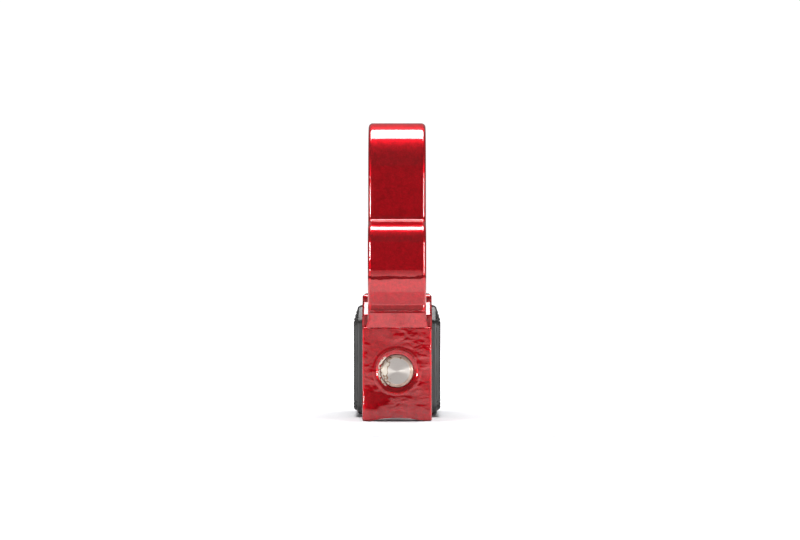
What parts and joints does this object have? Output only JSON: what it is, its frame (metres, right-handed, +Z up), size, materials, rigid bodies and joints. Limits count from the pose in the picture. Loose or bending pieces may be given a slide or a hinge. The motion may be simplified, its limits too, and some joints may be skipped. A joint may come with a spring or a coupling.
{
  "type": "motorcycle brake disc lock",
  "caption": "Arch-shaped disc lock with a push-in lock cylinder whose bolt closes the slot that takes a motorcycle's brake disc.",
  "frame": {"origin": "middle of the footprint, on the surface the lock stands on", "axes": "+X across the thickness towards the right cover, +Y along the bolt towards the keyway, +Z up to the top of the arch"},
  "size_m": [0.0402, 0.0834, 0.136],
  "materials": {
    "red_enamel": "gloss enamel over cast steel",
    "machined_steel": "turned",
    "steel_hardware": "ground",
    "spring_steel": "drawn wire",
    "seal_rubber": "matt",
    "nickel_brass": "turned",
    "disc_brass": "stamped",
    "face_chrome": "bright",
    "cover_plastic": "moulded, fine grain",
    "pad_rubber": "moulded, satin"
  },
  "bodies": {
    "lock_body": {"lock_body": "red_enamel", "wiper_seal": "seal_rubber", "cylinder_seal": "seal_rubber", "retaining_pin": "steel_hardware", "cover_plate_left": "cover_plastic", "cover_plate_right": "cover_plastic", "cover_pad_left": "pad_rubber", "cover_pad_right": "pad_rubber", "cover_screws": "steel_hardware", "cover_dowels": "steel_hardware", "return_spring": "spring_steel"},
    "cylinder": {"cylinder_housing": "nickel_brass", "locking_bolt": "machined_steel", "bolt_cross_pin": "steel_hardware", "front_plate": "steel_hardware", "wave_washer": "spring_steel", "face_cap": "face_chrome"},
    "plug": {"plug_barrel": "nickel_brass", "cam": "steel_hardware", "cam_clip": "spring_steel", "detainer_discs": "disc_brass", "spacer_washers": "steel_hardware", "sidebar": "steel_hardware", "front_drill_disc": "steel_hardware"},
    "shutter": {"keyway_shutter": "face_chrome"},
    "ball_upper": {"locking_ball_upper": "steel_hardware"},
    "ball_lower": {"locking_ball_lower": "steel_hardware"}
  },
  "joints": [
    {"name": "cylinder_slide", "type": "slide", "parent": "lock_body", "child": "cylinder", "axis": [0, 1, 0], "range_m": [0, 0.0235], "deforming": ["return_spring"]},
    {"name": "plug_turn", "type": "hinge", "parent": "cylinder", "child": "plug", "pos_m": [0, 0.02, 0.0226], "axis": [0, 1, 0], "range_deg": [0, 90]},
    {"name": "shutter_turn", "type": "hinge", "parent": "cylinder", "child": "shutter", "pos_m": [0, 0.039, 0.0226], "axis": [0, 1, 0], "range_deg": [0, 100]},
    {"name": "ball_upper_slide", "type": "slide", "parent": "cylinder", "child": "ball_upper", "axis": [0, 0, 1], "range_m": [0, 0.0016]},
    {"name": "ball_lower_slide", "type": "slide", "parent": "cylinder", "child": "ball_lower", "axis": [0, 0, -1], "range_m": [0, 0.0016]}
  ],
  "couplings": [
    {"joint": "ball_upper_slide", "follows": "plug_turn", "m_per_rad": 0.000954},
    {"joint": "ball_lower_slide", "follows": "plug_turn", "m_per_rad": 0.000954},
    {"joint": "shutter_turn", "follows": "plug_turn", "ratio": 1}
  ]
}
